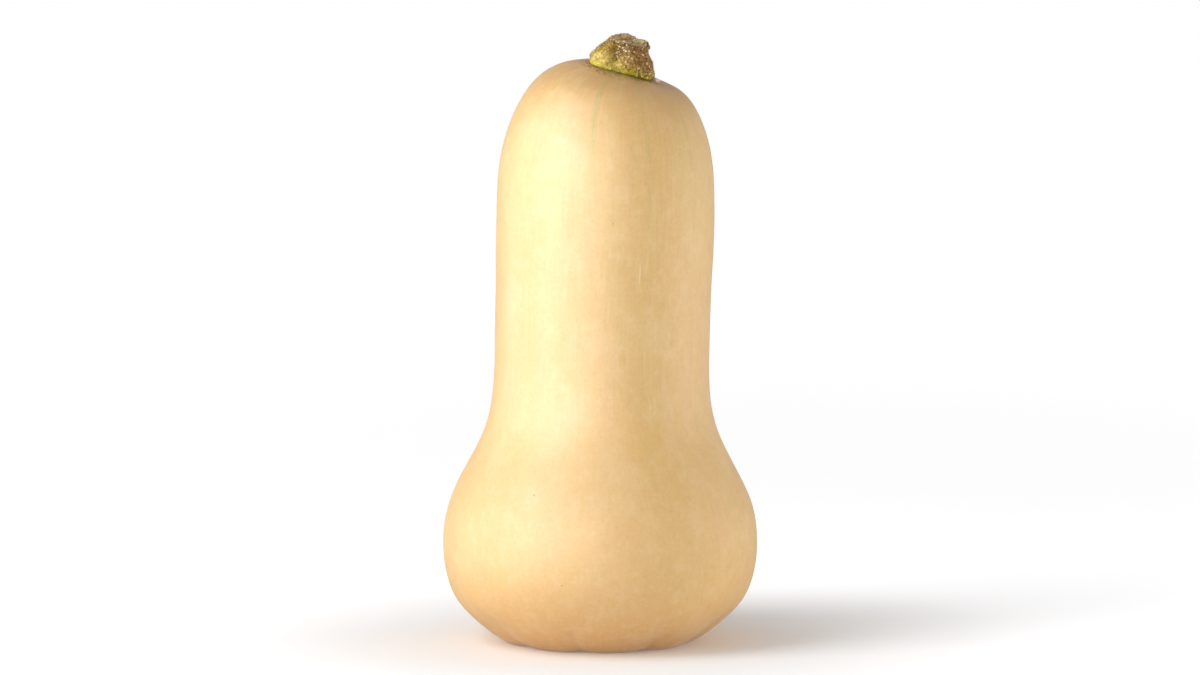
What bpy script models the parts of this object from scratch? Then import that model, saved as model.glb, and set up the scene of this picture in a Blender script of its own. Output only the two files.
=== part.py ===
"""A butternut squash standing on its blossom end: squash_fruit, one solid fruit, and stem, the cut stub of its stalk.

Metres, +Z up. The origin is on the resting plane, under the middle of the bulb. Both pieces are turned shapes
whose points are then moved as the fruit grew: lobes round the foot, a slight lean, and a crown that slopes.
"""

import bmesh
import bpy
import numpy as np

MM = 0.001
DEGREE = np.pi / 180

# The fruit, as if it had grown straight
BULB_RADIUS = 62.2 * MM
NECK_RADIUS = 42.8 * MM
CROWN_HEIGHT = 226.8 * MM
SEAT_RADIUS = 12.0 * MM
FOOT_RADIUS = 34.7 * MM
DIMPLE_DEPTH = 3.6 * MM
FRUIT_RINGS = 40
FRUIT_STEPS = 80

# How it grew: lobes and flat feet below, an oval section, a lean, and a crown that slopes
LOBES = 10
LOBE_DEPTH = 1.7 * MM
LOBE_PHASE = -82.8 * DEGREE
FOOT_SINK = 0.5 * MM
OVAL = 0.008
LEAN = 2.4 * MM
LEAN_FROM = 50 * MM
LEAN_TO = 200 * MM
CROWN_FROM = 203 * MM
CROWN_RIGHT = 5.8 * MM
CROWN_FRONT = 4.5 * MM
SLOPE_FROM = 200 * MM
SLOPE_RIGHT = 0.265
SLOPE_FRONT = 0.10

# The stem stub
STEM_RADIUS = 12.3 * MM
STEM_HEIGHT = 11.6 * MM
STEM_GAP = 0.3 * MM
STEM_RINGS = 15
STEM_STEPS = 50
RIBS = 5
RIB_DEPTH = 0.075
RIB_PHASE = -62 * DEGREE
CUT_RIGHT = 1.5 * MM
CUT_FRONT = 0.18


def smooth_step(low, high, value):
    """0 below low and 1 above high, with a soft S between them."""
    t = np.clip((value - low) / (high - low), 0, 1)
    return t * t * (3 - 2 * t)


def smooth_outline(stations, count):
    """A smooth curve through the stations, as count points. Its last point is level with the axis."""
    p = np.array(stations)
    t = np.concatenate([[0], np.cumsum(np.linalg.norm(np.diff(p, axis=0), axis=1) ** 0.5)])
    step = np.diff(t)[:, None]
    slope = np.diff(p, axis=0) / step
    tangent = np.vstack([slope[:1], (slope[:-1] * step[1:] + slope[1:] * step[:-1]) / (step[1:] + step[:-1]),
                         slope[-1:] * (1, 0)])
    at = np.linspace(0, t[-1], count)
    i = np.clip(np.searchsorted(t, at, side="right") - 1, 0, len(p) - 2)
    h = step[i]
    s = (at - t[i])[:, None] / h
    return ((1 + 2 * s) * (1 - s) ** 2 * p[i] + s * (1 - s) ** 2 * h * tangent[i]
            + s * s * (3 - 2 * s) * p[i + 1] + s * s * (s - 1) * h * tangent[i + 1])


def fruit_outline():
    """Half the fruit's section, as (radius, height), from the middle of the stem's seat down to the blossom scar."""
    stations = [
        (SEAT_RADIUS, CROWN_HEIGHT),
        (18.4 * MM, CROWN_HEIGHT - 1.8 * MM),
        (32.7 * MM, CROWN_HEIGHT - 11.9 * MM),
        (40.4 * MM, CROWN_HEIGHT - 29.4 * MM),
        (NECK_RADIUS + 0.1 * MM, 174 * MM),
        (NECK_RADIUS, 151 * MM),
        (NECK_RADIUS - 0.4 * MM, 114 * MM),
        (NECK_RADIUS + 0.8 * MM, 92 * MM),
        (49.3 * MM, 76 * MM),
        (59.6 * MM, 57 * MM),
        (BULB_RADIUS, 37 * MM),
        (57.4 * MM, 18.3 * MM),
        (46.2 * MM, 6.0 * MM),
        (FOOT_RADIUS, -FOOT_SINK),
        (23 * MM, DIMPLE_DEPTH - 2.6 * MM),
        (10 * MM, DIMPLE_DEPTH - 0.6 * MM),
        (0, DIMPLE_DEPTH),
    ]
    return [(0, CROWN_HEIGHT), *smooth_outline(stations, FRUIT_RINGS)]


def stem_outline():
    """Half the stem's section, as (radius, height above the seat): the pith hollow, the cut rim, the flared foot."""
    stations = [
        (0, STEM_HEIGHT - 1.6 * MM),
        (3.2 * MM, STEM_HEIGHT - 1.3 * MM),
        (6.2 * MM, STEM_HEIGHT - 0.1 * MM),
        (7.8 * MM, STEM_HEIGHT - 0.6 * MM),
        (9.3 * MM, STEM_HEIGHT - 3.1 * MM),
        (10.7 * MM, 5.6 * MM),
        (STEM_RADIUS - 0.6 * MM, 3.2 * MM),
        (STEM_RADIUS, 1.5 * MM),
        (SEAT_RADIUS - 0.3 * MM, 0),
    ]
    return [*smooth_outline(stations, STEM_RINGS), (0, 0)]


def turned(name, outline, steps, collection):
    """A closed body from an outline that runs down its outer side, turned about Z by a Screw modifier."""
    mesh = bpy.data.meshes.new(name + "_outline")
    mesh.from_pydata([(r, 0, z) for r, z in outline], [(i, i + 1) for i in range(len(outline) - 1)], [])
    obj = bpy.data.objects.new(name, mesh)
    collection.objects.link(obj)
    screw = obj.modifiers.new("Turn", "SCREW")
    screw.axis = "Z"
    screw.steps = steps
    screw.render_steps = steps
    screw.use_merge_vertices = True
    screw.merge_threshold = 0.00001
    body = bpy.data.meshes.new_from_object(obj.evaluated_get(bpy.context.evaluated_depsgraph_get()))
    obj.modifiers.clear()
    obj.data = body
    bpy.data.meshes.remove(mesh)
    body.name = name
    edit = bmesh.new()
    edit.from_mesh(body)
    bmesh.ops.remove_doubles(edit, verts=edit.verts, dist=0.00001)
    bmesh.ops.recalc_face_normals(edit, faces=edit.faces)
    edit.to_mesh(body)
    edit.free()
    return obj


def points_of(obj, attribute="co"):
    values = np.empty(3 * len(obj.data.vertices), np.float32)
    obj.data.vertices.foreach_get(attribute, values)
    return values.reshape(-1, 3).astype(float)


def move_points(obj, points):
    obj.data.vertices.foreach_set("co", points.astype(np.float32).ravel())
    obj.data.update()


def lobe_grooves(angle):
    """0 on the crest of each lobe of the foot, rising to 1 in the grooves between them; the lobes vary in width."""
    turn = angle - 0.10 * np.cos(angle) + 0.02 * np.sin(3 * angle + 2.2)
    return (1 - np.abs(np.cos(LOBES / 2 * (turn - LOBE_PHASE)))) ** 1.4


def seat_slope(right, front):
    """How far the crown drops at this distance from the middle of the stem's seat."""
    return SLOPE_RIGHT * right + SLOPE_FRONT * front


def grow_fruit(obj):
    """Sinks the grooves of the foot, makes the section oval, leans the neck, slopes the crown and flattens the foot."""
    points, normals = points_of(obj), points_of(obj, "normal")
    radius = np.hypot(points[:, 0], points[:, 1])
    height = points[:, 2].copy()
    angle = np.arctan2(points[:, 1], points[:, 0])
    depth = LOBE_DEPTH * smooth_step(4 * MM, 26 * MM, radius) * (1 - smooth_step(4 * MM, 30 * MM, height))
    points -= normals * (depth * lobe_grooves(angle))[:, None]
    points[:, :2] *= 1 + OVAL * np.sin(2 * angle)[:, None]
    slope = smooth_step(SLOPE_FROM, CROWN_HEIGHT, height)
    crown = smooth_step(CROWN_FROM, CROWN_HEIGHT, height)
    points[:, 2] -= slope * seat_slope(points[:, 0], -points[:, 1])
    points[:, 0] += LEAN * smooth_step(LEAN_FROM, LEAN_TO, height) + CROWN_RIGHT * crown
    points[:, 1] -= CROWN_FRONT * crown
    points[:, 2] = np.maximum(points[:, 2], 0)
    move_points(obj, points)


def grow_stem(obj):
    """Ribs the stem, tips its cut top towards the front, and sets its foot square on the sloping seat."""
    points = points_of(obj)
    angle = np.arctan2(points[:, 1], points[:, 0])
    height = points[:, 2].copy()
    up = smooth_step(0, STEM_HEIGHT, height)
    ribs = np.cos(RIBS * (angle - RIB_PHASE)) * smooth_step(0, 5 * MM, height)
    points[:, :2] *= 1 + RIB_DEPTH * ribs[:, None]
    points[:, 2] -= (1 - up) * seat_slope(points[:, 0], -points[:, 1]) - up * CUT_FRONT * points[:, 1]
    points[:, 0] += LEAN + CROWN_RIGHT + CUT_RIGHT * up
    points[:, 1] -= CROWN_FRONT
    points[:, 2] += CROWN_HEIGHT + STEM_GAP
    move_points(obj, points)


def paint(obj, name, colour, roughness):
    material = bpy.data.materials.new(name)
    material.use_nodes = True
    shader = material.node_tree.nodes["Principled BSDF"]
    shader.inputs["Base Color"].default_value = (*colour, 1)
    shader.inputs["Metallic"].default_value = 0
    shader.inputs["Roughness"].default_value = roughness
    obj.data.materials.append(material)
    obj.data.shade_smooth()
    obj.data.set_sharp_from_angle(angle=50 * DEGREE)


def clear_scene():
    for obj in list(bpy.data.objects):
        bpy.data.objects.remove(obj, do_unlink=True)


def main():
    clear_scene()
    squash = bpy.data.collections.new("butternut_squash")
    bpy.context.scene.collection.children.link(squash)
    fruit = turned("squash_fruit", fruit_outline(), FRUIT_STEPS, squash)
    grow_fruit(fruit)
    paint(fruit, "squash_rind", (0.78, 0.50, 0.22), 0.42)
    stem = turned("stem", stem_outline(), STEM_STEPS, squash)
    grow_stem(stem)
    paint(stem, "dried_stalk", (0.26, 0.18, 0.05), 0.8)


main()
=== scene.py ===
"""A butternut squash standing on its blossom end, with the cut stub of its stem. The rind, the stem, its
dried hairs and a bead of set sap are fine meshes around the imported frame, on a plain pale floor in soft
studio light. Metres, +Z up. The camera looks along +Y, so the front of the squash is at an angle of -90
degrees."""

import bpy
import numpy as np
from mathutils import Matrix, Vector


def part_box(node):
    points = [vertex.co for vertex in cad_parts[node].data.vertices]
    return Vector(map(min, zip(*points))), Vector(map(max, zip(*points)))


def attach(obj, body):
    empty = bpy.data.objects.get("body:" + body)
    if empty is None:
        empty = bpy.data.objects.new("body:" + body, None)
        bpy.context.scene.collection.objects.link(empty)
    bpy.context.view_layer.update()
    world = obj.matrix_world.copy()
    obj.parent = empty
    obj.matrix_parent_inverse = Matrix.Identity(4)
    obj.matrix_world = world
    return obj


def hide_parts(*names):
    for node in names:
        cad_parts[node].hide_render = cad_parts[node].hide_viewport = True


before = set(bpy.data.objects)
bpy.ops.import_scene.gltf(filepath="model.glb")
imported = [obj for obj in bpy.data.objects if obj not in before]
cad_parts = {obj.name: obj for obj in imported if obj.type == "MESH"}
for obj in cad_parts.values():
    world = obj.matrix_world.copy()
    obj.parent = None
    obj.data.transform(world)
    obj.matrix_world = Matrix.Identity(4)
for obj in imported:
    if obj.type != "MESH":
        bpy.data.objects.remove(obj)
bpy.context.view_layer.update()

# --------------------------------------------------------------------------------------------------
# Sizes. The fruit's width in the frame gives the scale, so MM is one millimetre of this squash.

FRUIT_WIDTH_IN_MM = 124.4
fruit_low, fruit_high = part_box("squash_fruit")
_, stem_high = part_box("stem")
MM = (fruit_high.x - fruit_low.x) / FRUIT_WIDTH_IN_MM
DEGREE = np.pi / 180

BULB_RADIUS = 62.1 * MM
NECK_RADIUS = 42.8 * MM
SEAT_RADIUS = 12.0 * MM
FOOT_RADIUS = 34.7 * MM
CROWN_HEIGHT = 226.8 * MM
DIMPLE_DEPTH = 3.6 * MM
FOOT_SINK = 0.5 * MM

# How it grew: lobes round the foot, an oval section, a neck that leans, and a crown that sits off the middle
# and slopes. The seat is the middle of the stem's foot.
LOBES = 10
LOBE_DEPTH = 1.2 * MM
LOBE_PHASE = -82.8 * DEGREE
OVAL = 0.008
LEAN, LEAN_FROM, LEAN_TO = 2.4 * MM, 60 * MM, 200 * MM
CROWN_RIGHT, CROWN_FRONT = 5.8 * MM, 4.5 * MM
SLOPE_RIGHT, SLOPE_FRONT = 0.265, 0.10
SEAT_X = LEAN + CROWN_RIGHT
SEAT_Y = -CROWN_FRONT

# Rows and columns of the grids, and what the random shapes start from
RIND_RINGS, RIND_STEPS = 290, 330
FOOT_ROWS, SIDE_ROWS, CUT_ROWS, STEM_STEPS = 8, 140, 80, 330
STEM_TOP = stem_high.z - 0.05 * MM
BRISTLES = 900
SEED = 7


# --------------------------------------------------------------------------------------------------
# Shape tools

def smooth_step(low, high, value):
    """0 below low and 1 above high, with a soft S between them."""
    t = np.clip((value - low) / (high - low), 0, 1)
    return t * t * (3 - 2 * t)


def smooth_curve(stations, count, flat_start=False):
    """A smooth curve through the stations, as count points: cubic pieces that share both slope and bend
    where they meet, so the tangents come from one linear system. A flat start leaves the axis level; other
    ends are free."""
    p = np.array(stations, float)
    step = np.linalg.norm(np.diff(p, axis=0), axis=1) ** 0.5
    t = np.concatenate([[0], np.cumsum(step)])
    slope = np.diff(p, axis=0) / step[:, None]
    inner = np.arange(1, len(p) - 1)
    system = np.zeros((len(p), len(p)))
    system[inner, inner - 1] = step[1:]
    system[inner, inner] = 2 * (step[:-1] + step[1:])
    system[inner, inner + 1] = step[:-1]
    wanted = np.zeros_like(p)
    wanted[1:-1] = 3 * (step[1:, None] * slope[:-1] + step[:-1, None] * slope[1:])
    for end, beside in [(0, 1), (-1, -2)]:
        system[end, end] = 2
        system[end, beside] = 1
        wanted[end] = slope[end] * 3
    if flat_start:
        system[0, :2] = 1, 0
        wanted[0] = slope[0] * (1, 0)
    tangent = np.linalg.solve(system, wanted)
    at = np.linspace(0, t[-1], count)
    i = np.clip(np.searchsorted(t, at, side="right") - 1, 0, len(p) - 2)
    h = step[i][:, None]
    s = (at - t[i])[:, None] / h
    return ((1 + 2 * s) * (1 - s) ** 2 * p[i] + s * (1 - s) ** 2 * h * tangent[i]
            + s * s * (3 - 2 * s) * p[i + 1] + s * s * (s - 1) * h * tangent[i + 1])


def spaced_by_weight(curve, count, weight):
    """The same curve with count points, closer together where weight is larger."""
    length = np.linalg.norm(np.diff(curve, axis=0), axis=1)
    length = length * (weight[1:] + weight[:-1]) / 2
    run = np.concatenate([[0], np.cumsum(length)])
    at = np.linspace(0, run[-1], count)
    return np.stack([np.interp(at, run, curve[:, axis]) for axis in range(2)], axis=1)


def soft_noise(points, size, seed):
    """Smooth noise from -1 to 1 with lumps about size across: random values on a lattice, blended by soft
    steps."""
    lattice = np.random.default_rng(seed).uniform(-1, 1, (32, 32, 32))
    scaled = points / size
    cell = np.floor(scaled).astype(int)
    t = scaled - cell
    t = t * t * (3 - 2 * t)
    total = np.zeros(points.shape[:-1])
    for corner in np.ndindex(2, 2, 2):
        at = (cell + corner) % 32
        weight = np.where(corner, t, 1 - t).prod(axis=-1)
        total += weight * lattice[at[..., 0], at[..., 1], at[..., 2]]
    return total


def grid_normals(grid):
    """Unit normals of a grid whose rows go round a closed piece, from its lower pole up: the cross product
    of the way round and the way up."""
    along = np.gradient(grid, axis=0)
    around = np.roll(grid, -1, axis=1) - np.roll(grid, 1, axis=1)
    normal = np.cross(around, along)
    normal /= np.linalg.norm(normal, axis=-1, keepdims=True) + 1e-12
    normal[0] = normal[1].mean(axis=0)
    normal[-1] = normal[-2].mean(axis=0)
    return normal / np.linalg.norm(normal, axis=-1, keepdims=True)


def granules(points, size, seed):
    """Round grains about size across: one at a random place in each cell of a lattice. 1 in the middle of a
    grain, falling with the square of the distance to 0 at its edge; grains differ in width."""
    table = np.random.default_rng(seed).uniform(0, 1, (24, 24, 24, 4))
    scaled = points / size
    cell = np.floor(scaled).astype(int)
    height = np.zeros(points.shape[:-1])
    for beside in np.ndindex(3, 3, 3):
        near = cell + np.array(beside) - 1
        item = table[near[..., 0] % 24, near[..., 1] % 24, near[..., 2] % 24]
        distance = ((scaled - near - item[..., :3]) ** 2).sum(axis=-1)
        height = np.maximum(height, 1 - distance / (0.22 + 0.42 * item[..., 3]) ** 2)
    return height


def bump_round(angle, at, width):
    """1 at an angle in degrees, falling off as a bell of this width on both sides of it."""
    away = (angle - at * DEGREE + np.pi) % (2 * np.pi) - np.pi
    return np.exp(-(away / (width * DEGREE)) ** 2)


def closed_mesh(name, grid, run):
    """A closed mesh from a grid whose rows go round it, from the lower pole (all points alike) to the upper
    one: triangles at the two poles and squares between. Its UV map holds the turn, from 0 to 1, and the run
    along the outline in metres."""
    rows, columns = grid.shape[:2]
    points = np.vstack([grid[0, :1], grid[1:-1].reshape(-1, 3), grid[-1, :1]])
    index = np.empty((rows, columns), int)
    index[0] = 0
    index[1:-1] = 1 + np.arange((rows - 2) * columns).reshape(rows - 2, columns)
    index[-1] = len(points) - 1
    column = np.arange(columns)
    after = (column + 1) % columns
    turn = column / columns
    foot = np.stack([index[0], index[1, after], index[1]], axis=-1)
    top = np.stack([index[-2], index[-2, after], index[-1]], axis=-1)
    wall = np.stack([index[1:-2], index[1:-2][:, after], index[2:-1][:, after], index[2:-1]], axis=-1)
    corners = np.concatenate([foot.ravel(), wall.ravel(), top.ravel()])
    count = np.concatenate([np.full(columns, 3), np.full((rows - 3) * columns, 4), np.full(columns, 3)])
    mesh = bpy.data.meshes.new(name)
    mesh.vertices.add(len(points))
    mesh.vertices.foreach_set("co", points.astype(np.float32).ravel())
    mesh.loops.add(len(corners))
    mesh.loops.foreach_set("vertex_index", corners.astype(np.int32))
    mesh.polygons.add(len(count))
    mesh.polygons.foreach_set("loop_start", np.concatenate([[0], np.cumsum(count)[:-1]]).astype(np.int32))
    mesh.update(calc_edges=True)
    step = 1 / columns
    foot_turn = np.stack([turn + step / 2, turn + step, turn], axis=-1)
    top_turn = np.stack([turn, turn + step, turn + step / 2], axis=-1)
    wall_turn = np.broadcast_to(np.stack([turn, turn + step, turn + step, turn], axis=-1), wall.shape)
    foot_run = np.broadcast_to([run[0], run[1], run[1]], foot.shape)
    top_run = np.broadcast_to([run[-2], run[-2], run[-1]], top.shape)
    wall_run = np.stack([run[1:-2], run[1:-2], run[2:-1], run[2:-1]], axis=-1)
    wall_run = np.broadcast_to(wall_run[:, None], wall.shape)
    layer = mesh.uv_layers.new(name="growth")
    uv = np.stack([np.concatenate([foot_turn.ravel(), wall_turn.ravel(), top_turn.ravel()]),
                   np.concatenate([foot_run.ravel(), wall_run.ravel(), top_run.ravel()])], axis=-1)
    layer.uv.foreach_set("vector", uv.astype(np.float32).ravel())
    mesh.shade_smooth()
    piece = bpy.data.objects.new(name, mesh)
    bpy.context.scene.collection.objects.link(piece)
    return piece


def set_mask(piece, name, grid):
    """Keeps one number a point on the mesh, for its material: the grid's values, with one for each pole."""
    values = np.concatenate([grid[0, :1], grid[1:-1].ravel(), grid[-1, :1]])
    piece.data.attributes.new(name, "FLOAT", "POINT").data.foreach_set("value", values.astype(np.float32))


# --------------------------------------------------------------------------------------------------
# The rind

def fruit_outline():
    """Half the fruit's section, (radius, height), from the blossom scar up to the middle of the stem's
    seat."""
    stations = [
        (0, DIMPLE_DEPTH),
        (10 * MM, DIMPLE_DEPTH - 0.6 * MM),
        (23 * MM, DIMPLE_DEPTH - 2.6 * MM),
        (FOOT_RADIUS, -FOOT_SINK),
        (46.2 * MM, 6.0 * MM),
        (57.5 * MM, 18.3 * MM),
        (BULB_RADIUS, 37 * MM),
        (59.1 * MM, 57 * MM),
        (49.7 * MM, 76 * MM),
        (43.9 * MM, 92 * MM),
        (42.5 * MM, 116 * MM),
        (42.8 * MM, 146 * MM),
        (NECK_RADIUS + 0.2 * MM, 174 * MM),
        (40.9 * MM, CROWN_HEIGHT - 31.8 * MM),
        (35.2 * MM, CROWN_HEIGHT - 15.8 * MM),
        (26.9 * MM, CROWN_HEIGHT - 5.8 * MM),
        (SEAT_RADIUS, CROWN_HEIGHT),
    ]
    curve = smooth_curve(stations, 2000, flat_start=True)
    return np.vstack([curve, [(0, CROWN_HEIGHT)]])


def lobe_grooves(angle):
    """0 on the crest of each lobe of the foot, rising to 1 in the grooves between them: one less the size
    of a cosine, raised to a power. A second, slower wave makes the lobes vary in width."""
    turn = angle - 0.10 * np.cos(angle) + 0.02 * np.sin(3 * angle + 2.2)
    return (1 - np.abs(np.cos(LOBES / 2 * (turn - LOBE_PHASE)))) ** 1.4


def crown_share(radius, height, inner):
    """1 in the middle of the crown out to the inner radius, fading to 0 by the neck's side."""
    return (1 - smooth_step(inner, NECK_RADIUS + 0.5 * MM, radius)) * (height > CROWN_HEIGHT / 2)


def rind_grid():
    """The rind: the outline turned about Z, then grooved round the foot along its normals and made oval.
    The neck leans a little, and the crown sits to the right and forward and slopes down that way. Gives the
    grid of points, the angle of each column, and the radius, the height and the run along the outline of
    each row."""
    curve = fruit_outline()
    closer = 1 + 1.2 * np.exp(-(curve[:, 0] / (24 * MM)) ** 2)
    curve = spaced_by_weight(curve, RIND_RINGS, closer)
    run = np.concatenate([[0], np.cumsum(np.linalg.norm(np.diff(curve, axis=0), axis=1))])
    radius, height = curve[:, :1], curve[:, 1:]
    slope = np.gradient(curve, axis=0)
    out = np.stack([slope[:, 1], -slope[:, 0]], axis=1) / np.linalg.norm(slope, axis=1)[:, None]
    angle = np.arange(RIND_STEPS) / RIND_STEPS * 2 * np.pi
    depth = LOBE_DEPTH * smooth_step(4 * MM, 26 * MM, radius) * (1 - smooth_step(3 * MM, 20 * MM, height))
    depth = depth * lobe_grooves(angle)
    r = (radius - depth * out[:, :1]) * (1 + OVAL * np.sin(2 * angle))
    z = height - depth * out[:, 1:]
    x, y = r * np.cos(angle), r * np.sin(angle)
    z = z - crown_share(radius, height, 10 * MM) * (SLOPE_RIGHT * x - SLOPE_FRONT * y)
    forward = crown_share(radius, height, 3 * MM)
    x = x + LEAN * smooth_step(LEAN_FROM, LEAN_TO, height) + CROWN_RIGHT * forward
    return np.stack([x, y - CROWN_FRONT * forward, z], axis=-1), angle, radius, height, run


# Green lines that run down from the stem: angle in degrees, start and end in mm above the floor, strength
VEINS = [
    (-98, 226, 172, 1.0),
    (-66, 218, 150, 0.34),
    (-35, 216, 170, 0.40),
    (-128, 222, 205, 0.22),
    (-5, 220, 196, 0.30),
    (31, 221, 190, 0.45),
    (66, 222, 185, 0.30),
    (103, 224, 196, 0.60),
    (140, 222, 188, 0.35),
    (176, 222, 200, 0.40),
]


def make_rind():
    """The rind with its relief, along its normals: broad dents, faint ribs down the neck, wrinkles that run
    out from under the stem, and the corky blossom scar. Masks keep where its green veins and the green
    patch by the stem are, its golden bands, its scar, and how far the stem's middle is."""
    grid, angle, radius, height, run = rind_grid()
    normal = grid_normals(grid)
    above = height > CROWN_HEIGHT / 2
    from_stem = np.hypot(grid[..., 0] - SEAT_X, grid[..., 1] - SEAT_Y) + np.where(above, 0, 1)
    from_scar = np.where(above, 1, radius) * np.ones_like(angle)
    uneven = soft_noise(grid, 9 * MM, SEED + 10)
    dents = 0.30 * MM * np.clip(soft_noise(grid, 34 * MM, SEED), 0, 1)
    dents = dents + 0.09 * MM * (1 - soft_noise(grid, 11 * MM, SEED + 1))
    rib = np.cos(LOBES * (angle - LOBE_PHASE) + 0.8 * np.sin(2 * angle))
    ribbed = smooth_step(20 * MM, 60 * MM, height) * smooth_step(0, 20 * MM, from_stem)
    dents = dents + 0.13 * MM * (1 - rib) / 2 * ribbed
    ring = np.stack([np.cos(angle), np.sin(angle), 0 * angle], axis=-1)
    streak = soft_noise(ring + 0 * grid, 0.11, SEED + 11)
    dents = dents + 0.22 * MM * (1 + streak) * np.exp(-((from_stem - 11 * MM) / (7 * MM)) ** 2)
    scar = 1 - smooth_step(5.5 * MM, 8.5 * MM, from_scar + 1.2 * MM * uneven)
    pips = granules(grid, 1.9 * MM, SEED + 12)
    nub = np.exp(-(from_scar / (1.6 * MM)) ** 2)
    dents = dents + scar * (0.30 * MM - 0.35 * MM * np.clip(pips, 0, 1)) - 0.8 * MM * nub
    grid = grid - normal * dents[..., None]
    grid[..., 2] = np.maximum(grid[..., 2], 0)
    rind = closed_mesh("rind", grid, run)
    vein = 0
    for at, top, bottom, strength in VEINS:
        wavy = angle + 0.010 * np.sin(height / (9 * MM) + at)
        line = bump_round(wavy, at, 1.3 * (22 * MM / (radius + 6 * MM)) + 1.1)
        fade = smooth_step(bottom * MM, (bottom + 0.75 * (top - bottom)) * MM, height)
        vein = vein + strength * line * fade * above
    about = np.arctan2(grid[..., 1] - SEAT_Y, grid[..., 0] - SEAT_X)
    vein = vein + 0.9 * bump_round(about, -106, 26) * (1 - smooth_step(12.2 * MM, 15.6 * MM, from_stem))
    set_mask(rind, "vein", np.clip(vein, 0, 1))
    bands = bump_round(angle, -64, 15) + 0.7 * bump_round(angle, 38, 18) + 0.8 * bump_round(angle, 150, 16)
    bands = bands * smooth_step(62 * MM, 95 * MM, height) * (1 - smooth_step(185 * MM, 212 * MM, height))
    set_mask(rind, "golden", np.clip(bands, 0, 1))
    set_mask(rind, "from_stem", np.minimum(from_stem, 50 * MM))
    set_mask(rind, "scar", scar)
    return rind


# --------------------------------------------------------------------------------------------------
# The stem

# The stem's outline on eleven sides, angle in degrees first. Each goes as (radius, height) in mm from the
# seat: the foot in the skin, the edge on it, two points of the belly, the shoulder, the lip, the cut's rim.
STEM_SIDES = [
    (-145, [(13.2, 1.2), (13.8, 2.6), (12.8, 4.6), (11.3, 6.5), (9.2, 7.9), (6.4, 9.3), (3.8, 10.8)]),
    (-120, [(11.8, -0.9), (12.4, 0.4), (12.5, 2.6), (11.8, 5.2), (10.1, 7.6), (7.6, 9.4), (4.6, 10.9)]),
    (-97, [(10.8, -1.9), (11.3, -0.9), (11.2, 1.2), (10.3, 3.8), (8.8, 6.2), (7.0, 8.4), (5.2, 10.2)]),
    (-68, [(11.0, -2.9), (11.6, -1.8), (12.1, 0.6), (11.7, 3.2), (10.6, 5.8), (8.9, 8.0), (6.5, 9.6)]),
    (-38, [(13.0, -4.4), (13.6, -3.2), (13.3, -0.6), (12.5, 2.2), (11.3, 4.8), (10.2, 6.9), (8.8, 8.3)]),
    (-12, [(12.7, -4.4), (13.1, -3.2), (12.9, -0.4), (12.1, 2.0), (10.9, 4.4), (10.7, 6.6), (10.2, 8.0)]),
    (12, [(11.8, -3.4), (12.4, -2.2), (12.5, 0.6), (11.6, 3.2), (10.2, 5.8), (11.0, 8.4), (10.2, 10.3)]),
    (38, [(11.6, -1.8), (12.6, -0.6), (13.0, 1.8), (12.2, 4.2), (11.0, 6.6), (10.4, 8.8), (8.7, 10.6)]),
    (75, [(11.4, 0.4), (12.3, 1.6), (12.4, 4.0), (11.5, 6.6), (10.1, 9.0), (8.4, 11.4), (6.6, 13.2)]),
    (130, [(11.4, 2.4), (12.2, 3.4), (12.2, 5.2), (11.2, 7.1), (9.5, 8.8), (7.3, 10.6), (4.6, 12.4)]),
    (180, [(11.2, 2.2), (11.8, 3.0), (11.8, 4.6), (10.7, 6.4), (8.6, 7.9), (5.6, 9.5), (2.7, 11.5)]),
]
# Round swellings on its sides: angle in degrees, height above the seat, half width and rise in mm
SWELLINGS = [
    (-117, 2.9, 2.3, 1.00), (-144, 4.4, 1.6, 0.65), (-131, 6.0, 1.5, 0.55), (-92, 2.2, 1.8, 0.55),
    (-71, 4.6, 1.8, 0.45), (-52, 0.2, 2.1, 0.55), (-36, 3.6, 2.0, 0.55), (-20, -0.8, 1.8, 0.45),
    (20, 4.0, 2.2, 0.50), (50, 2.0, 2.0, 0.50), (84, 6.4, 2.3, 0.50), (108, 3.6, 2.0, 0.50),
    (140, 6.6, 2.2, 0.45), (165, 4.0, 1.9, 0.50), (-166, 7.0, 1.8, 0.40),
]
FRONT_CREASE, FRONT_CREASE_TURN = -103, -55
# Creases down its sides: angle and half width in degrees, depth, and degrees that they turn from foot to rim
CREASES = [
    (FRONT_CREASE, 7, 0.55, FRONT_CREASE_TURN), (-52, 5, 0.25, 8), (-22, 6, 0.35, -6), (18, 7, 0.5, 9),
    (60, 6, 0.45, -9), (104, 8, 0.6, 12), (150, 6, 0.4, -8), (-164, 6, 0.35, 10), (-130, 4, 0.22, -12),
]
CUT_MIDDLE = np.array([3.6, 0.2, 10.7]) * MM
PITH_MIDDLE = np.array([2.0, 0.6]) * MM


def crown_height_at(x, y):
    """Height of the crown's skin above the seat at a place measured from the middle of the seat."""
    curve = fruit_outline()[::-1]
    near = (curve[:, 0] < 30 * MM) & (curve[:, 1] > CROWN_HEIGHT / 2)
    skin = np.interp(np.hypot(x, y), curve[near, 0], curve[near, 1])
    return skin - CROWN_HEIGHT - SLOPE_RIGHT * x + SLOPE_FRONT * y


def stem_sides(angle):
    """Radius and height on each side of the stem: a smooth curve through each outline's points, and between
    two outlines a soft step from one to the next round the stem."""
    start = np.array([at for at, _ in STEM_SIDES]) * DEGREE
    curves = np.array([smooth_curve(np.array(side) * MM, SIDE_ROWS) for _, side in STEM_SIDES])
    turn = (angle - start[0]) % (2 * np.pi)
    start = start - start[0]
    end = np.append(start[1:], 2 * np.pi)
    i = np.searchsorted(start, turn, side="right") - 1
    blend = smooth_step(start[i], end[i], turn)[:, None, None]
    both = curves[i] * (1 - blend) + curves[(i + 1) % len(curves)] * blend
    return both[..., 0].T, both[..., 1].T


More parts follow.
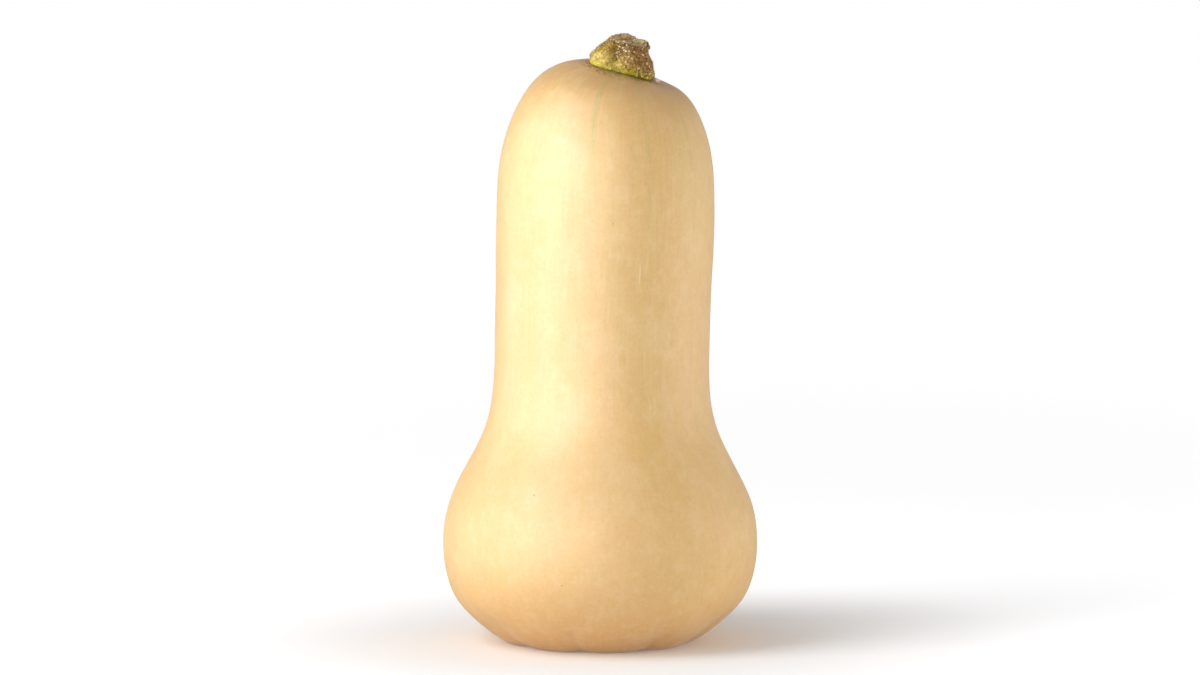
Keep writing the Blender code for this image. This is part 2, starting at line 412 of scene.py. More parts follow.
def stem_grid():
    """The stem's plain shape, from under the skin up its sides and over the rim to the middle of the cut,
    with the pith hollow as a bell. Gives the points, the angle, the share of the way up the sides and the
    share of the way in over the cut."""
    angle = np.arange(STEM_STEPS) / STEM_STEPS * 2 * np.pi
    radius, height = stem_sides(angle)
    up = np.linspace(0, 1, SIDE_ROWS)[:, None] * np.ones_like(angle)
    x, y = radius * np.cos(angle), radius * np.sin(angle)
    settle = crown_height_at(x, y) - 0.9 * MM - height[:1]
    z = height + (1 - smooth_step(0, 0.45, up)) * settle
    side = np.stack([x, y, z], axis=-1)
    share = np.linspace(0, 1, FOOT_ROWS, endpoint=False)[:, None, None]
    foot = side[0] * share
    foot[..., 2] = side[0, :, 2].mean() * (1 - share[..., 0]) + side[0, :, 2] * share[..., 0] - 0.4 * MM
    inward = np.linspace(0, 1, CUT_ROWS + 1)[1:, None, None]
    top = side[-1] * (1 - inward) + CUT_MIDDLE * inward
    pith = np.hypot(top[..., 0] - PITH_MIDDLE[0], (top[..., 1] - PITH_MIDDLE[1]))
    lip = 0.25 * MM * np.sin(np.pi * np.clip(3 * inward[..., 0], 0, 1))
    top[..., 2] += lip - 1.0 * MM * np.exp(-(pith / (2.4 * MM)) ** 2)
    grid = np.concatenate([foot, side, top])
    up = np.concatenate([0 * foot[..., 0], up, 1 + 0 * top[..., 0]])
    cut = np.concatenate([0 * foot[..., 0], 0 * side[..., 0], inward[..., 0] + 0 * top[..., 0]])
    return grid, angle, up, cut


def make_stem():
    """The stem stub with its relief: round swellings and creases on its sides, lumps, corky grains that
    stand highest by the rim and in the front crease, a raised scratch and a knot, each a bell or noise
    along the normal. Masks keep where each is. Gives the piece, its points, and the shares of the way up
    and in."""
    plain, angle, up, cut = stem_grid()
    x, y, z = plain[..., 0], plain[..., 1], plain[..., 2]
    side = smooth_step(0.04, 0.30, up) * (1 - smooth_step(0, 0.2, cut))
    crease = 0
    for at, width, depth, lean in CREASES:
        crease = crease + depth * bump_round(angle + lean * (up - 0.45) * DEGREE, at, width)
    swell, risen = 0, 0
    for at, level, half, rise in SWELLINGS:
        across = np.hypot(x, y) * ((angle - at * DEGREE + np.pi) % (2 * np.pi) - np.pi)
        bell = np.exp(-(across ** 2 + (z - level * MM) ** 2) / (half * MM) ** 2) * (cut == 0)
        swell = swell + rise * MM * bell
        risen = risen + bell
    grid = plain + grid_normals(plain) * (swell - 0.8 * MM * side * crease)[..., None]
    lumps = 0.30 * MM * soft_noise(plain, 3.4 * MM, SEED + 2)
    lumps = lumps + 0.20 * MM * soft_noise(plain, 1.6 * MM, SEED + 3)
    grains = np.clip(granules(plain, 1.35 * MM, SEED + 4), 0, 1)
    fine = np.clip(granules(plain, 0.75 * MM, SEED + 5), 0, 1)
    in_crease = bump_round(angle + FRONT_CREASE_TURN * (up - 0.45) * DEGREE, FRONT_CREASE, 8)
    in_crease = in_crease * smooth_step(0.42, 0.6, up) * (1 - cut)
    by_rim = smooth_step(0.90, 0.98, up) * (1 - smooth_step(0.08, 0.25, cut))
    smooth_left = bump_round(angle, -122, 45) * (1 - smooth_step(0.45, 0.8, up))
    rough = 0.55 + 0.5 * smooth_step(0.25, 0.6, up) - 0.60 * smooth_left + 0.6 * in_crease
    scratch_line = 7.7 * MM + 0.28 * (x + 4.4 * MM) - 0.07 / MM * (x + 4.4 * MM) ** 2
    scratch = np.exp(-((z - scratch_line) / (0.30 * MM)) ** 2) * (y < 0) * (cut == 0)
    scratch = scratch * smooth_step(-6.6 * MM, -5.6 * MM, x) * (1 - smooth_step(-2.9 * MM, -2.2 * MM, x))
    knot = np.exp(-(((x + 2.2 * MM) ** 2 + (z - 10.6 * MM) ** 2) / (0.8 * MM) ** 2)) * (y < 0)
    show = smooth_step(0.02, 0.12, up)
    corky = rough * (0.38 * MM * grains + 0.18 * MM * fine)
    relief = show * (lumps + corky + 0.42 * MM * scratch - 0.7 * MM * knot)
    grid = grid + grid_normals(grid) * relief[..., None]
    grid = grid + np.array([SEAT_X, SEAT_Y, CROWN_HEIGHT])
    grid[..., 2] = np.minimum(grid[..., 2], STEM_TOP)
    grid[0] = grid[0].mean(axis=0)
    grid[-1] = grid[-1].mean(axis=0)
    run = np.concatenate([[0], np.cumsum(np.linalg.norm(np.diff(grid[:, 0], axis=0), axis=1))])
    stem = closed_mesh("stem_stub", grid, run)
    green_top = 0.20 + 0.34 * bump_round(angle, -98, 36) + 0.05 * soft_noise(plain, 2.6 * MM, SEED + 13)
    set_mask(stem, "green", 1 - smooth_step(0.55, 1.0, up / green_top))
    brown = (bump_round(angle, -34, 60) + 0.6 * bump_round(angle, 110, 55)) * smooth_step(0.12, 0.42, up)
    set_mask(stem, "grain", np.clip(0.75 * grains + 0.55 * fine, 0, 1))
    set_mask(stem, "up", up)
    set_mask(stem, "cut", cut)
    set_mask(stem, "brown", np.clip(brown, 0, 1))
    set_mask(stem, "pale", np.clip(in_crease + 0.7 * by_rim + scratch, 0, 1))
    # Where the stalk is painted dark: painted shade in the creases, and the knot's own dark brown.
    set_mask(stem, "dark", np.clip(crease * side + knot, 0, 1))
    # The left side, towards the key light, where the stalk's colour is painted lighter and its swellings get
    # a painted highlight.
    set_mask(stem, "left", bump_round(angle + 0 * up, -135, 50))
    set_mask(stem, "swell", np.clip(risen, 0, 1))
    return stem, grid, up, cut


def make_bristles(grid, up, cut):
    """The stubs of the stalk's dried hairs: small closed cones with four sides, at random places on the
    stem's sides and rim, each leaning a little off the surface's normal."""
    random = np.random.default_rng(SEED + 6)
    chance = smooth_step(0.08, 0.3, up) * (1 - smooth_step(0.1, 0.3, cut)) + 0.001
    pick = random.choice(chance.size, BRISTLES, replace=False, p=(chance / chance.sum()).ravel())
    foot = grid.reshape(-1, 3)[pick]
    out = grid_normals(grid).reshape(-1, 3)[pick] + random.normal(0, 0.35, (BRISTLES, 3))
    out /= np.linalg.norm(out, axis=1, keepdims=True)
    length = random.uniform(0.30, 0.80, (BRISTLES, 1)) * MM
    width = random.uniform(0.05, 0.10, (BRISTLES, 1)) * MM
    across = np.cross(out, random.normal(0, 1, (BRISTLES, 3)))
    across /= np.linalg.norm(across, axis=1, keepdims=True)
    beyond = np.cross(out, across)
    base = foot - 0.15 * MM * out
    points = np.stack([base + width * across, base + width * beyond, base - width * across,
                       base - width * beyond, foot + length * out], axis=1).reshape(-1, 3)
    points[:, 2] = np.minimum(points[:, 2], STEM_TOP)
    cone = np.array([[0, 1, 4], [1, 2, 4], [2, 3, 4], [3, 0, 4], [2, 1, 0], [3, 2, 0]])
    faces = (cone[None] + 5 * np.arange(BRISTLES)[:, None, None]).reshape(-1, 3)
    mesh = bpy.data.meshes.new("bristles")
    mesh.from_pydata(points.tolist(), [], faces.tolist())
    bristles = bpy.data.objects.new("bristles", mesh)
    bpy.context.scene.collection.objects.link(bristles)
    return bristles


BEAD_RADIUS = 0.92 * MM
BEAD_X, BEAD_Y = 14.1 * MM, -5.0 * MM


def make_sap_bead():
    """A bead of set sap in the corner between stem and skin: a sphere whose radius grows by a bell towards
    one side, where a second drop ran into it, pressed flat."""
    rows, columns = 40, 56
    tilt = np.linspace(-np.pi / 2, np.pi / 2, rows)[:, None]
    turn = np.arange(columns) / columns * 2 * np.pi
    flat = np.cos(tilt)
    way = np.stack([flat * np.cos(turn), flat * np.sin(turn), np.sin(tilt) + 0 * turn], axis=-1)
    second = way @ np.array([0.86, -0.45, -0.25])
    size = BEAD_RADIUS * (1 + 0.75 * np.exp(-((1 - second) / 0.16)))
    level = CROWN_HEIGHT + crown_height_at(BEAD_X, BEAD_Y) + 0.3 * MM
    middle = np.array([SEAT_X + BEAD_X, SEAT_Y + BEAD_Y, level])
    grid = middle + way * size[..., None] * np.array([1, 1, 0.85])
    return closed_mesh("sap_bead", grid, np.linspace(0, np.pi * BEAD_RADIUS, rows))


# --------------------------------------------------------------------------------------------------
# Materials

def colour(text):
    """An sRGB hex colour as linear red, green, blue and alpha."""
    part = np.array([int(text[i:i + 2], 16) for i in (1, 3, 5)]) / 255
    linear = np.where(part <= 0.04045, part / 12.92, ((part + 0.055) / 1.055) ** 2.4)
    return (*linear, 1)


def add(tree, kind, inputs=None, stops=None, **settings):
    """Adds a node, sets its properties and a ramp's stops, and fills its inputs, by name or number: a
    socket is linked, a node by its first output in use, and anything else is the input's value."""
    made = tree.nodes.new("ShaderNode" + kind)
    for name, value in settings.items():
        setattr(made, name, value)
    if stops:
        elements = made.color_ramp.elements
        while len(elements) < len(stops):
            elements.new(0.5)
        for element, (place, shade) in zip(elements, stops):
            element.position = place
            element.color = shade
    for name, value in (inputs or {}).items():
        if isinstance(value, bpy.types.Node):
            value = next(socket for socket in value.outputs if socket.enabled)
        if isinstance(value, bpy.types.NodeSocket):
            tree.links.new(value, made.inputs[name])
        else:
            made.inputs[name].default_value = value
    return made


def new_material(name):
    """A material with an empty node tree, and that tree."""
    material = bpy.data.materials.new(name)
    material.use_nodes = True
    material.node_tree.nodes.clear()
    return material, material.node_tree


def paint_layers(tree, base, layers):
    """Colours laid over a base, one after another. Each goes where its pattern passes softly from low to
    high (or falls, where low is the larger), as far as its strength says and only where its place says."""
    for pattern, low, high, strength, where, shade in layers:
        most = add(tree, "Math", {0: where, 1: strength}, operation="MULTIPLY")
        share = add(tree, "MapRange", {"Value": pattern, "From Min": low, "From Max": high, "To Max": most},
                    interpolation_type="SMOOTHSTEP")
        base = add(tree, "Mix", {0: share, 6: base, 7: shade}, data_type="RGBA")
    return base


# Dark specks of healed skin: angle in degrees, height and radius in mm
SPECKS = [
    (-97, 201, 0.55), (-90, 197, 0.45), (-70, 194, 0.6), (-28, 175, 0.7), (-86, 169, 0.4), (-117, 64, 0.6),
    (-68, 7, 0.7), (-104, 30, 0.4), (-60, 120, 0.35), (20, 150, 0.6), (64, 95, 0.7), (110, 180, 0.5),
    (150, 60, 0.8), (-170, 130, 0.5), (40, 40, 0.7),
]
# A short pale scratch down the neck, at this share of a whole turn
SCRATCH_TURN = (-71 % 360) / 360


def speck_place(angle, level):
    """Where a speck sits: on the neck's or the bulb's side at an angle and height, read off the outline."""
    curve = fruit_outline()
    side = curve[curve[:, 0] > 30 * MM]
    radius = np.interp(level * MM, side[:, 1], side[:, 0])
    lean = LEAN * smooth_step(LEAN_FROM, LEAN_TO, level * MM)
    return (radius * np.cos(angle * DEGREE) + lean, radius * np.sin(angle * DEGREE), level * MM)


def rind_material():
    """Squash rind, grown and cured: a thin hard waxy skin, tan, paler and yellower where it is stretched,
    darker and more orange towards the foot, partly its own colour and partly painted shade on the underside,
    pinkish brown by the stem, with fine streaks along it and a soft wide sheen. Painted shade also darkens
    the crown's right side and lays a dark olive ring round the stem's foot. The speckle of a real rind is
    under half a millimetre, so it is drawn twice as coarse to show."""
    material, tree = new_material("waxy_squash_rind")
    place = add(tree, "TexCoord").outputs["Object"]
    spot = add(tree, "SeparateXYZ", {0: place})
    right, height = spot.outputs["X"], spot.outputs["Z"]
    growth = add(tree, "SeparateXYZ", {0: add(tree, "UVMap", uv_map="growth")})
    turn = add(tree, "Math", {0: growth, 1: 2 * np.pi}, operation="MULTIPLY")
    round_x = add(tree, "Math", {0: turn}, operation="COSINE")
    round_y = add(tree, "Math", {0: turn}, operation="SINE")
    vein, golden, from_stem, scar = [add(tree, "Attribute", attribute_name=name).outputs["Fac"]
                                     for name in ("vein", "golden", "from_stem", "scar")]

    def streaks(width, length, seed, detail):
        """Noise on a ring: width in radians of the turn, length in metres along the skin."""
        along = add(tree, "Math", {0: growth.outputs["Y"], 1: width / length, 2: seed},
                    operation="MULTIPLY_ADD")
        ring = add(tree, "CombineXYZ", {0: round_x, 1: round_y, 2: along})
        return add(tree, "TexNoise", {"Vector": ring, "Scale": 1 / width, "Detail": detail})

    broad = streaks(0.30, 0.12, 3.0, 2.0)
    bands = streaks(0.085, 0.034, 11.0, 3.0)
    fine = streaks(0.026, 0.013, 23.0, 3.0)
    thready = streaks(0.02, 0.012, 31.0, 2.0)
    blotch, mottle, speckle, clouds, crumbs, groups, polish, tooth = [
        add(tree, "TexNoise", {"Vector": place, "W": seed, "Scale": 1 / (size * MM), "Detail": detail},
            noise_dimensions="4D")
        for size, detail, seed in [(16, 3.0, 0.0), (4.5, 3.0, 4.0), (1.3, 2.0, 9.0), (7, 3.0, 2.0),
                                   (1.2, 3.0, 6.0), (12, 1.0, 12.0), (11, 2.0, 7.0), (0.9, 2.0, 5.0)]]
    pores = add(tree, "TexVoronoi", {"Vector": place, "Scale": 1 / (6.5 * MM)})

    # Tone by height: darker and more orange towards the foot, partly the rind's own colour and partly
    # painted shade on the underside; a little darker at the crown.
    tone = add(tree, "ValToRGB", {0: add(tree, "Math", {0: height, 1: CROWN_HEIGHT}, operation="DIVIDE")}, [
        (0.000, colour("#D79B4D")),
        (0.013, colour("#DBA155")),
        (0.040, colour("#E0AA5B")),
        (0.075, colour("#E3B267")),
        (0.150, colour("#E5B86D")),
        (0.282, colour("#E6BB73")),
        (0.463, colour("#E7BD75")),
        (0.829, colour("#E6BC73")),
        (0.922, colour("#E4B76F")),
        (0.957, colour("#E0B16B")),
        (0.992, colour("#DBAA66")),
    ])
    on_neck = add(tree, "MapRange", {"Value": height, "From Min": 70 * MM, "From Max": 105 * MM,
                                     "To Min": 0.45}, interpolation_type="SMOOTHSTEP")
    skin = paint_layers(tree, tone, [
        (broad, 0.38, 0.70, 0.26, 1.0, colour("#E4B46E")),
        (broad, 0.50, 0.64, 0.36, on_neck, colour("#DFC173")),
        (broad, 0.48, 0.34, 0.30, on_neck, colour("#E8B581")),
        (golden, 0.0, 1.0, 0.45, 1.0, colour("#DFB25F")),
        (bands, 0.50, 0.72, 0.30, on_neck, colour("#E0BF75")),
        (bands, 0.47, 0.28, 0.26, on_neck, colour("#E5B480")),
        (fine, 0.50, 0.70, 0.16, on_neck, colour("#F3D29B")),
        (fine, 0.48, 0.30, 0.13, on_neck, colour("#CD9B58")),
        (blotch, 0.50, 0.68, 0.24, 1.0, colour("#F1CF99")),
        (blotch, 0.46, 0.30, 0.18, 1.0, colour("#DDA863")),
        (mottle, 0.50, 0.70, 0.20, 1.0, colour("#F1D19D")),
        (mottle, 0.46, 0.28, 0.14, 1.0, colour("#D59F5E")),
        (speckle, 0.52, 0.72, 0.16, 1.0, colour("#F4D6A8")),
        (speckle, 0.47, 0.28, 0.14, 1.0, colour("#C8914D")),
    ])

    # Painted shade: the top of the crown is darkened on its right side, away from the key light.
    shaded_crown_right = add(tree, "MapRange", {"Value": right, "From Min": -8 * MM, "From Max": 34 * MM},
                interpolation_type="SMOOTHSTEP")
    cloudy = add(tree, "MapRange", {"Value": clouds, "From Min": 0.30, "From Max": 0.62, "To Min": 0.45},
                 interpolation_type="SMOOTHSTEP")
    broken = add(tree, "MapRange", {"Value": crumbs, "From Min": 0.44, "From Max": 0.54},
                 interpolation_type="SMOOTHSTEP")
    west = add(tree, "MapRange", {"Value": right, "From Min": 10 * MM, "From Max": -3 * MM, "To Min": 0.25,
                                  "To Max": 0.90}, interpolation_type="SMOOTHSTEP")
    corky = add(tree, "MapRange", {"Value": from_stem, "From Min": 18.5 * MM, "From Max": 13.5 * MM,
                                   "To Max": broken}, interpolation_type="SMOOTHSTEP")
    skin = paint_layers(tree, skin, [
        (thready, 0.20, 0.62, 0.80, vein, colour("#BDB55C")),
        # painted shade on the crown's right side
        (height, 200 * MM, 216 * MM, 0.34, shaded_crown_right, colour("#CF9C62")),
        (from_stem, 24 * MM, 13 * MM, 0.40, cloudy, colour("#C4956E")),
        (corky, 0.0, 1.0, 1.0, west, colour("#94602C")),
        # painted shade: a dark olive ring on the skin right at the stem's foot, where skin and stem meet
        (from_stem, 14.2 * MM, 12.5 * MM, 0.55, 1.0, colour("#7E7A2C")),
    ])

    some = add(tree, "MapRange", {"Value": groups, "From Min": 0.50, "From Max": 0.56, "To Max": 0.55},
               interpolation_type="SMOOTHSTEP")
    marks = add(tree, "MapRange", {"Value": pores, "From Min": 0.062, "From Max": 0.030, "To Max": some},
                interpolation_type="SMOOTHSTEP")
    for angle, level, radius in SPECKS:
        away = add(tree, "VectorMath", {0: place, 1: speck_place(angle, level)}, operation="DISTANCE")
        speck = add(tree, "MapRange", {"Value": away, "From Min": radius * MM,
                                       "From Max": 0.35 * radius * MM}, interpolation_type="SMOOTHSTEP")
        marks = add(tree, "Math", {0: marks, 1: speck}, operation="MAXIMUM")
    beside = add(tree, "Math", {0: growth, 1: SCRATCH_TURN}, operation="SUBTRACT")
    beside = add(tree, "Math", {0: beside}, operation="ABSOLUTE")
    above = add(tree, "MapRange", {"Value": height, "From Min": 143 * MM, "From Max": 147 * MM},
                interpolation_type="SMOOTHSTEP")
    below = add(tree, "MapRange", {"Value": height, "From Min": 163 * MM, "From Max": 155 * MM,
                                   "To Max": above}, interpolation_type="SMOOTHSTEP")
    scratch = add(tree, "MapRange", {"Value": fine, "From Min": 0.36, "From Max": 0.50, "To Max": below},
                  interpolation_type="SMOOTHSTEP")
    cork = add(tree, "Mix", {0: broken, 6: colour("#B58E5C"), 7: colour("#835E3A")}, data_type="RGBA")
    skin = paint_layers(tree, skin, [
        (marks, 0.0, 1.0, 0.62, 1.0, colour("#8A5A34")),
        (beside, 0.0011, 0.0004, 0.75, scratch, colour("#F6DDAF")),
        (scar, 0.0, 1.0, 1.0, 1.0, cork),
    ])

    relief = add(tree, "Math", {0: fine, 1: 0.9}, operation="MULTIPLY")
    relief = add(tree, "Math", {0: tooth, 1: 0.55, 2: relief}, operation="MULTIPLY_ADD")
    relief = add(tree, "Math", {0: marks, 1: -1.2, 2: relief}, operation="MULTIPLY_ADD")
    relief = add(tree, "Math", {0: corky, 1: 1.5, 2: relief}, operation="MULTIPLY_ADD")
    bump = add(tree, "Bump", {"Height": relief, "Strength": 0.5, "Distance": 0.09 * MM})
    dull = add(tree, "MapRange", {"Value": polish, "From Min": 0.30, "From Max": 0.70, "To Min": 0.46,
                                  "To Max": 0.55}, interpolation_type="SMOOTHSTEP")
    rough_skin = add(tree, "Math", {0: scar, 1: corky}, operation="MAXIMUM")
    dull = add(tree, "Math", {0: rough_skin, 1: 0.3, 2: dull}, operation="MULTIPLY_ADD")
    duller_bulb = add(tree, "Math", {0: 1.0, 1: on_neck}, operation="SUBTRACT")
    dull = add(tree, "Math", {0: duller_bulb, 1: 0.25, 2: dull}, operation="MULTIPLY_ADD")
    shader = add(tree, "BsdfPrincipled", {"Base Color": skin, "Roughness": dull, "Specular IOR Level": 0.75,
                                          "Coat Weight": 1.0, "Coat Roughness": 0.50, "Normal": bump})
    add(tree, "OutputMaterial", {"Surface": shader})
    return material


def stalk_material():
    """Squash stalk, cut and dried: corky and matt, still yellow-green at the base, a little glossy where the
    left side swells, brown and rough towards the cut, with pale grains in the crease and a tan pith. Painted
    light and shade lie in its colour too: a lighter tone on the left, towards the key, a cream-yellow
    painted highlight on the swellings, painted shade in the creases, and dark olive painted shade at the
    foot where it goes into the skin."""
    material, tree = new_material("dried_corky_stalk")
    place = add(tree, "TexCoord").outputs["Object"]
    up, cut, grain, left, brown, green, swell, pale, dark = [
        add(tree, "Attribute", attribute_name=name).outputs["Fac"]
        for name in ("up", "cut", "grain", "left", "brown", "green", "swell", "pale", "dark")]
    warm, patches, stains, pits, groups, cork, pocks, tooth = [
        add(tree, "TexNoise", {"Vector": place, "W": seed, "Scale": 1 / (size * MM), "Detail": detail},
            noise_dimensions="4D")
        for size, detail, seed in [(4.2, 2.0, 1.0), (3.0, 3.0, 2.0), (2.4, 2.0, 9.0), (0.9, 3.0, 3.0),
                                   (2.2, 2.0, 4.0), (3.0, 3.0, 5.0), (1.1, 3.0, 6.0), (0.7, 3.0, 8.0)]]
    # Painted light: the same olives and greens made lighter on the left, the side towards the key light.
    plain = add(tree, "Mix", {0: left, 6: colour("#A0882C"), 7: colour("#C6A63E")}, data_type="RGBA")
    fresh = add(tree, "Mix", {0: left, 6: colour("#A8960E"), 7: colour("#CFBB32")}, data_type="RGBA")
    # Painted highlight: a cream-yellow on the swellings, strongest on the left, towards the key light.
    swell_highlight = add(tree, "Math", {0: left, 1: 0.45, 2: 0.35}, operation="MULTIPLY_ADD")
    patchy = add(tree, "MapRange", {"Value": patches, "From Min": 0.30, "From Max": 0.52, "To Min": 0.55,
                                    "To Max": 1.0}, interpolation_type="SMOOTHSTEP")
    not_left = add(tree, "Math", {0: left, 1: -0.62, 2: 1.0}, operation="MULTIPLY_ADD")
    some = add(tree, "MapRange", {"Value": groups, "From Min": 0.42, "From Max": 0.58, "To Min": 0.42,
                                  "To Max": not_left}, interpolation_type="SMOOTHSTEP")
    tips = add(tree, "Mix", {0: brown, 6: colour("#F4E49A"), 7: colour("#F4D2AC")}, data_type="RGBA")
    body = paint_layers(tree, plain, [
        (warm, 0.40, 0.62, 0.80, 1.0, colour("#A5842A")),
        (up, 0.35, 0.75, 0.45, 1.0, colour("#94691F")),
        (green, 0.0, 1.0, 1.0, 1.0, fresh),
        # painted highlight on the swellings
        (swell, 0.0, 1.0, 1.0, swell_highlight, colour("#E4CF6A")),
        (patchy, 0.0, 1.0, 1.0, brown, colour("#AA7A42")),
        (stains, 0.52, 0.38, 0.55, not_left, colour("#7E5620")),
        (pits, 0.54, 0.40, 0.80, not_left, colour("#553810")),
        (grain, 0.42, 0.74, 1.0, some, tips),
        (grain, 0.30, 0.62, 1.0, pale, colour("#F6EFD2")),
        # painted shade in the creases, and the knot's own dark brown
        (dark, 0.0, 1.0, 0.45, 1.0, colour("#54380B")),
    ])
    wood = paint_layers(tree, colour("#B8A270"), [
        (cork, 0.38, 0.60, 1.0, 1.0, colour("#D3B588")),
        (pocks, 0.52, 0.38, 0.75, 1.0, colour("#6A4A28")),
    ])
    middle = (SEAT_X + PITH_MIDDLE[0], SEAT_Y + PITH_MIDDLE[1], CROWN_HEIGHT + 10.5 * MM)
    pith = add(tree, "VectorMath", {0: place, 1: middle}, operation="DISTANCE")
    wood = paint_layers(tree, wood, [(pith, 3.6 * MM, 1.8 * MM, 0.80, 1.0, colour("#A0764E"))])
    body = paint_layers(tree, body, [
        (cut, 0.02, 0.12, 1.0, 1.0, wood),
        # painted shade: the stem's foot darkened to dark olive where it goes into the skin
        (up, 0.14, 0.05, 0.80, 1.0, colour("#665808")),
    ])

    relief = add(tree, "Math", {0: grain, 1: 0.4, 2: tooth}, operation="MULTIPLY_ADD")
    bump = add(tree, "Bump", {"Height": relief, "Strength": 0.9, "Distance": 0.35 * MM})
    dull = add(tree, "MapRange", {"Value": up, "From Min": 0.15, "From Max": 0.60, "To Min": 0.44,
                                  "To Max": 0.62}, interpolation_type="SMOOTHSTEP")
    dull = add(tree, "Math", {0: swell, 1: -0.16, 2: dull}, operation="MULTIPLY_ADD")
    shader = add(tree, "BsdfPrincipled", {"Base Color": body, "Roughness": dull, "Normal": bump,
                                          "Specular IOR Level": 0.32})
    add(tree, "OutputMaterial", {"Surface": shader})
    return material


def bristle_material():
    """Dried plant hairs, stiff and bleached: a little shiny, straw in some patches and brown in others."""
    material, tree = new_material("bleached_dry_hairs")
    place = add(tree, "TexCoord").outputs["Object"]
    patches = add(tree, "TexNoise", {"Vector": place, "Scale": 1 / (2.5 * MM), "Detail": 1.0})
    straw = paint_layers(tree, colour("#8C7340"), [(patches, 0.42, 0.60, 1.0, 1.0, colour("#D9C48E"))])
    shader = add(tree, "BsdfPrincipled", {"Base Color": straw, "Roughness": 0.55})
    add(tree, "OutputMaterial", {"Surface": shader})
    return material


def sap_material():
    """Squash sap that beaded and set at the stem's foot: glossy as resin. Real sap is cloudy and lets light
    through; at this size it shows as pale, so it is drawn opaque. Its pale patches are partly its cloudiness
    and partly painted highlight, for the light a clear drop gathers and throws back."""
    material, tree = new_material("clear_set_sap")
    place = add(tree, "TexCoord").outputs["Object"]
    # Pale patches: partly the sap's cloudiness, partly painted highlight.
    cloud_and_painted_glints = add(tree, "TexNoise", {"Vector": place, "Scale": 1 / (0.8 * MM), "Detail": 2.0})
    body = paint_layers(tree, colour("#C9B083"), [(cloud_and_painted_glints, 0.42, 0.60, 1.0, 1.0, colour("#F4E9CF"))])
    shader = add(tree, "BsdfPrincipled", {"Base Color": body, "Roughness": 0.08, "IOR": 1.5,
                                          "Coat Weight": 1.0, "Coat Roughness": 0.04})
    add(tree, "OutputMaterial", {"Surface": shader})
    return material


# --------------------------------------------------------------------------------------------------
# Stage, light and camera

FLOOR_RADIUS = 8.0
FOOT_GLOW, NEAR_GLOW, FAR_GLOW = 0.08, 0.44, 0.70
WALL_GLOW, CEILING_GLOW = 0.44, 0.32
AIM = Vector((0, 0, 0.12))

# Softboxes: name, angle from the camera's side and rise in degrees (left is negative), width, height,
# distance, height of the middle of their circle, watts, and whether they light the matt part of a surface
# and show in its sheen. Three panels that only the sheen shows spread the key's highlight. Two that it
# doesn't show fill the right, one of them low and near as a white card would be.
SOFTBOXES = [
    ("key_left", -62, 6, 0.7, 1.2, 1.4, 0.12, 11.6, True, True),
    ("key_top_left", -60, 45, 0.8, 0.8, 1.4, 0.12, 8.7, True, True),
    ("sheen_front", -15, 6, 0.7, 1.2, 1.4, 0.12, 9.9, False, True),
    ("sheen_middle", -45, 6, 0.7, 1.2, 1.4, 0.12, 10.4, False, True),
    ("sheen_left", -100, 6, 0.7, 1.2, 1.4, 0.12, 8.8, False, True),
    ("fill_right", 110, 4, 0.7, 1.0, 1.4, 0.12, 4.5, True, False),
    ("card_right", 80, 0, 0.5, 0.14, 0.5, 0.08, 0.62, True, False),
]


def make_floor():
    """A round matt floor. Away from the object it also glows, as a backdrop with lights of its own does."""
    bpy.ops.mesh.primitive_circle_add(vertices=128, radius=FLOOR_RADIUS, fill_type="NGON")
    floor = bpy.context.object
    floor.name = "floor"
    material, tree = new_material("matt_white_floor")
    place = add(tree, "TexCoord").outputs["Object"]
    away = add(tree, "VectorMath", {0: place}, operation="LENGTH").outputs["Value"]
    glow = add(tree, "MapRange", {"Value": away, "From Min": 0.03, "From Max": 0.20, "To Min": FOOT_GLOW,
                                  "To Max": NEAR_GLOW}, interpolation_type="SMOOTHSTEP")
    glow = add(tree, "MapRange", {"Value": away, "From Min": 0.3, "From Max": 1.6, "To Min": glow,
                                  "To Max": FAR_GLOW}, interpolation_type="SMOOTHSTEP")
    shader = add(tree, "BsdfPrincipled", {"Base Color": colour("#F0F0F2"), "Roughness": 0.9,
                                          "Emission Color": (1, 1, 1, 1), "Emission Strength": glow})
    add(tree, "OutputMaterial", {"Surface": shader})
    floor.data.materials.append(material)
    floor.visible_glossy = False


def make_world():
    """A dim studio: grey walls all round, and a darker ceiling."""
    world = bpy.data.worlds.new("studio")
    bpy.context.scene.world = world
    world.use_nodes = True
    tree = world.node_tree
    tree.nodes.clear()
    direction = add(tree, "TexCoord").outputs["Generated"]
    up = add(tree, "SeparateXYZ", {0: direction}).outputs["Z"]
    glow = add(tree, "MapRange", {"Value": up, "From Min": 0.12, "From Max": 0.62, "To Min": WALL_GLOW,
                                  "To Max": CEILING_GLOW}, interpolation_type="SMOOTHSTEP")
    back = add(tree, "Background", {"Color": colour("#FBFAFA"), "Strength": glow})
    add(tree, "OutputWorld", {"Surface": back})


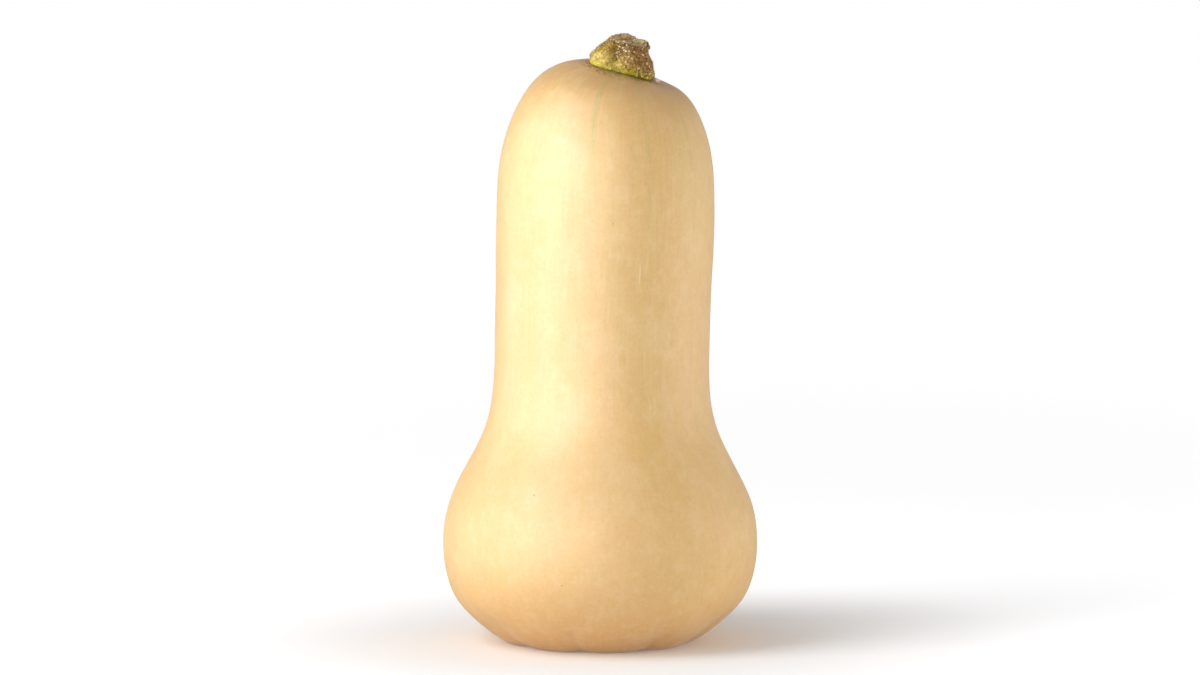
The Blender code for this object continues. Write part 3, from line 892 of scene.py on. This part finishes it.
def make_lights():
    """One area light for each softbox, turned to the aim and hidden from the camera."""
    for name, turn, rise, width, height, away, level, watts, matt, sheen in SOFTBOXES:
        turn, rise = turn * DEGREE, rise * DEGREE
        flat = away * np.cos(rise)
        lamp = bpy.data.lights.new(name, "AREA")
        lamp.shape = "RECTANGLE"
        lamp.size = width
        lamp.size_y = height
        lamp.energy = watts
        light = bpy.data.objects.new(name, lamp)
        light.location = (flat * np.sin(turn), -flat * np.cos(turn), level + away * np.sin(rise))
        light.rotation_euler = (AIM - light.location).to_track_quat("-Z", "Y").to_euler()
        light.visible_camera = False
        light.visible_diffuse = matt
        light.visible_glossy = sheen
        bpy.context.scene.collection.objects.link(light)


CAMERA_DISTANCE = 3.0
CAMERA_RISE = 6.3 * DEGREE
SENSOR_WIDTH = 36.0
VIEW_WIDTH = 0.472
VIEW_MIDDLE = 0.120


def make_camera():
    """A long lens that looks a little down at the middle of the squash and takes in the view's width."""
    data = bpy.data.cameras.new("camera")
    data.sensor_width = SENSOR_WIDTH
    data.lens = SENSOR_WIDTH * CAMERA_DISTANCE / VIEW_WIDTH
    camera = bpy.data.objects.new("camera", data)
    back = Vector((0, -np.cos(CAMERA_RISE), np.sin(CAMERA_RISE)))
    camera.location = Vector((0, 0, VIEW_MIDDLE)) + back * CAMERA_DISTANCE
    camera.rotation_euler = (-back).to_track_quat("-Z", "Y").to_euler()
    bpy.context.scene.collection.objects.link(camera)
    bpy.context.scene.camera = camera
    bpy.context.scene.view_settings.view_transform = "Standard"


# --------------------------------------------------------------------------------------------------
# The squash, riding on the frame's one body

make_camera()
make_floor()
make_world()
make_lights()
rind = make_rind()
rind.data.materials.append(rind_material())
stem, stem_points, stem_up, stem_cut = make_stem()
stem.data.materials.append(stalk_material())
bristles = make_bristles(stem_points, stem_up, stem_cut)
bristles.data.materials.append(bristle_material())
sap_bead = make_sap_bead()
sap_bead.data.materials.append(sap_material())
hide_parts("squash_fruit")
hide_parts("stem")
for piece, slot in [(rind, "rind"), (stem, "stalk"), (bristles, "stalk"), (sap_bead, "stalk")]:
    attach(piece, "root")
